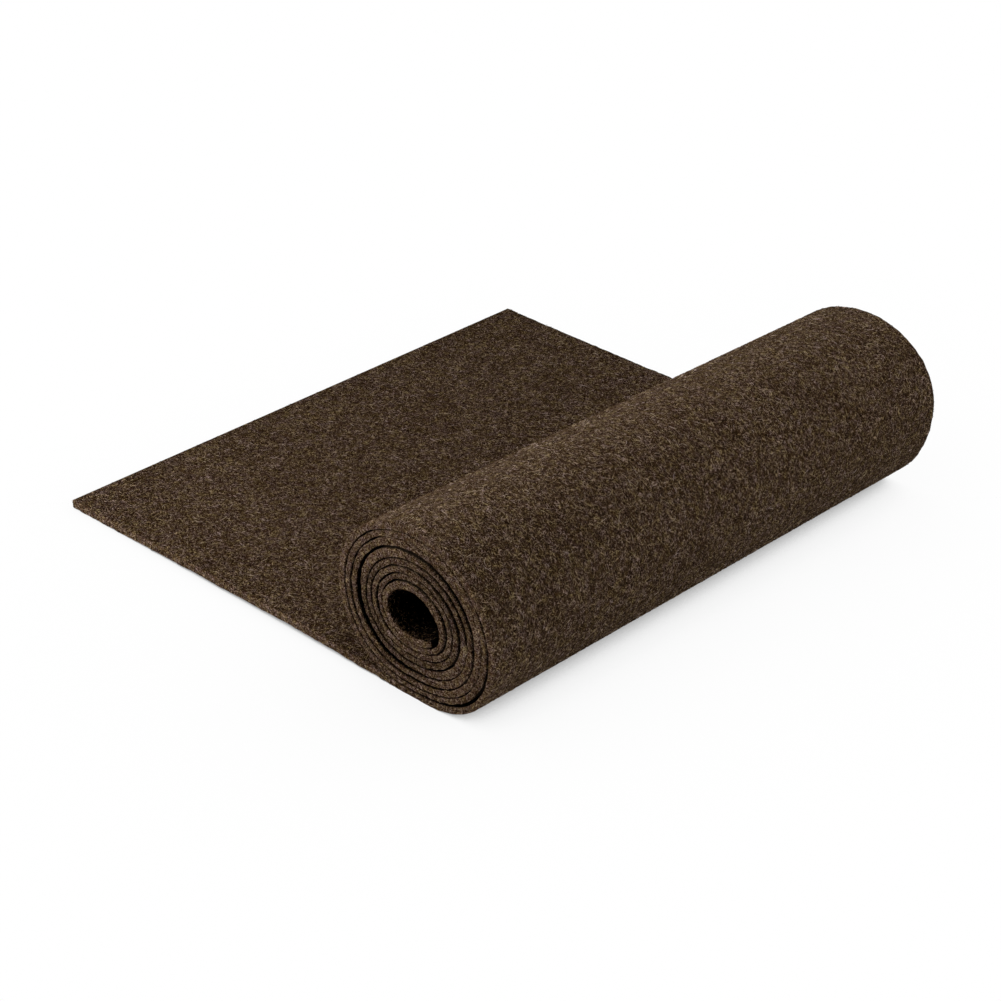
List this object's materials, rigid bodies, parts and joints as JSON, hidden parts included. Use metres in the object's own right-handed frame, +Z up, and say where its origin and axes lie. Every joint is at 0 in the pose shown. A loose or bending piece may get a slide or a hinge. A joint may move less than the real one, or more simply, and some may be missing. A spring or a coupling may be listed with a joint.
{
  "type": "roll of felt",
  "caption": "Roll of thick heathered wool felt, partly unrolled: a spiral-wound roll with a hollow middle and its outer end lying flat on the ground.",
  "frame": {"origin": "middle of the object's footprint, on the ground that it rests on", "axes": "+Z up; the roll's axis runs along Y; the flat run-out leads from the roll to -X; the end face with the pictured spiral looks to -Y"},
  "size_m": [0.2849, 0.3001, 0.0845],
  "materials": {
    "brown_wool_felt": "dark brown heathered wool felt, matt and slightly hairy"
  },
  "bodies": {
    "root": {"felt": "brown_wool_felt"}
  },
  "joints": []
}
